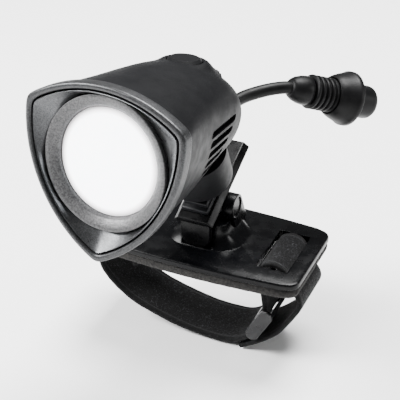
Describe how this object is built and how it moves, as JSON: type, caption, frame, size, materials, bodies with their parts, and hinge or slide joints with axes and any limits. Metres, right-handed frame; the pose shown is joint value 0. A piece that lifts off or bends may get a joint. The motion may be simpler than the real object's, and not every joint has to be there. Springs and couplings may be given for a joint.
{
  "type": "helmet headlamp",
  "caption": "Headlamp with a rounded-triangle head on a ball foot and tilting arm, strapped to a helmet by a padded base, fed by a cable with a locking plug.",
  "frame": {"origin": "middle of the underside of the foam pad, where it sits on the helmet", "axes": "+Z away from the helmet, -Y the way the lamp shines, +X along the base plate to the lamp's right as seen from the front"},
  "size_m": [0.0782, 0.1128, 0.1105],
  "materials": {
    "shell_plastic": "fine matte grain",
    "bezel_coating": "satin",
    "shroud_coating": "satin",
    "black_plastic": "satin moulded",
    "gloss_plastic": "glossy moulded",
    "buckle_plastic": "satin moulded",
    "grey_plastic": "satin moulded",
    "black_rubber": "matte",
    "foam": "open-cell foam",
    "webbing": "brushed loop webbing",
    "clear_lens": "clear",
    "lit_optic": "clear moulded",
    "led_yellow": "phosphor",
    "circuit_board": "solder mask",
    "white_board": "white solder mask",
    "aluminium": "as machined",
    "steel": "plated"
  },
  "bodies": {
    "base": {"mount_base": "gloss_plastic", "foam_pad": "foam", "helmet_strap": "webbing", "strap_buckle": "buckle_plastic", "pivot_bolt": "steel", "pivot_nut": "steel"},
    "arm": {"tilt_arm": "black_plastic", "ball_foot": "grey_plastic", "foot_screw_front": "steel", "foot_screw_rear": "steel"},
    "head": {"front_bezel": "bezel_coating", "lens_shroud": "shroud_coating", "lens_ring": "grey_plastic", "front_lens": "clear_lens", "lens_seal": "black_rubber", "collimator_plate": "lit_optic", "led_board": "white_board", "led_emitter_1": "led_yellow", "led_emitter_2": "led_yellow", "led_emitter_3": "led_yellow", "led_emitter_4": "led_yellow", "heat_sink": "aluminium", "sink_seal": "black_rubber", "driver_board": "circuit_board", "button_switch": "black_plastic", "switch_board": "circuit_board", "head_housing": "shell_plastic", "cable_gland": "black_rubber", "socket_liner": "black_plastic", "power_cable": "black_rubber", "plug_relief": "black_rubber", "plug_body": "black_rubber", "plug_nose": "black_rubber"},
    "button": {"power_button": "black_rubber"},
    "collar": {"plug_collar": "black_plastic"}
  },
  "joints": [
    {"name": "tilt", "type": "hinge", "parent": "base", "child": "arm", "pos_m": [0, 0.0021, 0.0164], "axis": [-1, 0, 0], "range_deg": [-2, 30]},
    {"name": "swivel", "type": "hinge", "parent": "arm", "child": "head", "pos_m": [0, -0.00721, 0.03268], "axis": [0, -0.4305, 0.9026], "range_deg": [-15, 15]},
    {"name": "button_press", "type": "slide", "parent": "head", "child": "button", "axis": [-0.015, -0.1644, -0.9863], "range_m": [0, 0.0008], "stiffness_N_per_m": 2500},
    {"name": "collar_turn", "type": "hinge", "parent": "head", "child": "collar", "pos_m": [0.0172, 0.0245, 0.0505], "axis": [0.6199, 0.6999, -0.3549], "range_deg": [0, 60]}
  ]
}
